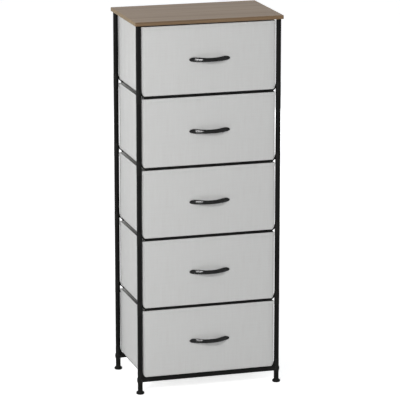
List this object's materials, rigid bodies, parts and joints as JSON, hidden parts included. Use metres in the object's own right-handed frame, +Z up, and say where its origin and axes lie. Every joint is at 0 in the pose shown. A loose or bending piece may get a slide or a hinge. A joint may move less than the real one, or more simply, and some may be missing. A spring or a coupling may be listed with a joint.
{
  "type": "fabric drawer dresser",
  "caption": "Tall narrow dresser with open-topped fabric drawers that slide out of a slim tubular steel frame under a flat wooden top.",
  "frame": {"origin": "at floor level, in the middle of the outer box, which reaches from the back edge of the top board to the front of the handles", "axes": "+Z up, the drawers face and open towards -Y, +X to the right seen from the front"},
  "size_m": [0.48, 0.3164, 1.197],
  "materials": {
    "board_wood": "matt printed woodgrain laminate on particle board",
    "frame_steel": "satin black powder coat",
    "frame_plastic": "moulded black, lightly textured",
    "drawer_fabric": "light grey non-woven fabric, sewn",
    "fibreboard": "raw fibreboard",
    "handle_plastic": "glossy black moulding"
  },
  "bodies": {
    "frame": {"top_board": "board_wood", "top_plug_front_left": "frame_plastic", "post_front_left": "frame_steel", "top_plug_front_right": "frame_plastic", "post_front_right": "frame_steel", "top_plug_back_left": "frame_plastic", "post_back_left": "frame_steel", "top_plug_back_right": "frame_plastic", "post_back_right": "frame_steel", "side_rail_1_left": "frame_steel", "side_rail_1_right": "frame_steel", "cross_rod_1_front": "frame_steel", "cross_rod_1_back": "frame_steel", "side_rail_2_left": "frame_steel", "side_rail_2_right": "frame_steel", "cross_rod_2_front": "frame_steel", "cross_rod_2_back": "frame_steel", "side_rail_3_left": "frame_steel", "side_rail_3_right": "frame_steel", "cross_rod_3_front": "frame_steel", "cross_rod_3_back": "frame_steel", "side_rail_4_left": "frame_steel", "side_rail_4_right": "frame_steel", "cross_rod_4_front": "frame_steel", "cross_rod_4_back": "frame_steel", "side_rail_5_left": "frame_steel", "side_rail_5_right": "frame_steel", "bottom_tube_front": "frame_steel", "bottom_tube_back": "frame_steel"},
    "drawer_1": {"drawer_1_fabric": "drawer_fabric", "drawer_1_front_board": "fibreboard", "drawer_1_bottom_board": "fibreboard", "drawer_1_handle": "handle_plastic"},
    "drawer_2": {"drawer_2_fabric": "drawer_fabric", "drawer_2_front_board": "fibreboard", "drawer_2_bottom_board": "fibreboard", "drawer_2_handle": "handle_plastic"},
    "drawer_3": {"drawer_3_fabric": "drawer_fabric", "drawer_3_front_board": "fibreboard", "drawer_3_bottom_board": "fibreboard", "drawer_3_handle": "handle_plastic"},
    "drawer_4": {"drawer_4_fabric": "drawer_fabric", "drawer_4_front_board": "fibreboard", "drawer_4_bottom_board": "fibreboard", "drawer_4_handle": "handle_plastic"},
    "drawer_5": {"drawer_5_fabric": "drawer_fabric", "drawer_5_front_board": "fibreboard", "drawer_5_bottom_board": "fibreboard", "drawer_5_handle": "handle_plastic"},
    "foot_front_left": {"foot_front_left": "frame_plastic"},
    "foot_front_right": {"foot_front_right": "frame_plastic"},
    "foot_back_left": {"foot_back_left": "frame_plastic"},
    "foot_back_right": {"foot_back_right": "frame_plastic"}
  },
  "joints": [
    {"name": "drawer_1_slide", "type": "slide", "parent": "frame", "child": "drawer_1", "axis": [0, -1, 0], "range_m": [0, 0.23]},
    {"name": "drawer_2_slide", "type": "slide", "parent": "frame", "child": "drawer_2", "axis": [0, -1, 0], "range_m": [0, 0.23]},
    {"name": "drawer_3_slide", "type": "slide", "parent": "frame", "child": "drawer_3", "axis": [0, -1, 0], "range_m": [0, 0.23]},
    {"name": "drawer_4_slide", "type": "slide", "parent": "frame", "child": "drawer_4", "axis": [0, -1, 0], "range_m": [0, 0.23]},
    {"name": "drawer_5_slide", "type": "slide", "parent": "frame", "child": "drawer_5", "axis": [0, -1, 0], "range_m": [0, 0.23]},
    {"name": "foot_front_left_turn", "type": "hinge", "parent": "frame", "child": "foot_front_left", "pos_m": [-0.227, -0.12885, 0], "axis": [0, 0, 1], "continuous": true},
    {"name": "foot_front_right_turn", "type": "hinge", "parent": "frame", "child": "foot_front_right", "pos_m": [0.227, -0.12885, 0], "axis": [0, 0, 1], "continuous": true},
    {"name": "foot_back_left_turn", "type": "hinge", "parent": "frame", "child": "foot_back_left", "pos_m": [-0.227, 0.14515, 0], "axis": [0, 0, 1], "continuous": true},
    {"name": "foot_back_right_turn", "type": "hinge", "parent": "frame", "child": "foot_back_right", "pos_m": [0.227, 0.14515, 0], "axis": [0, 0, 1], "continuous": true}
  ]
}
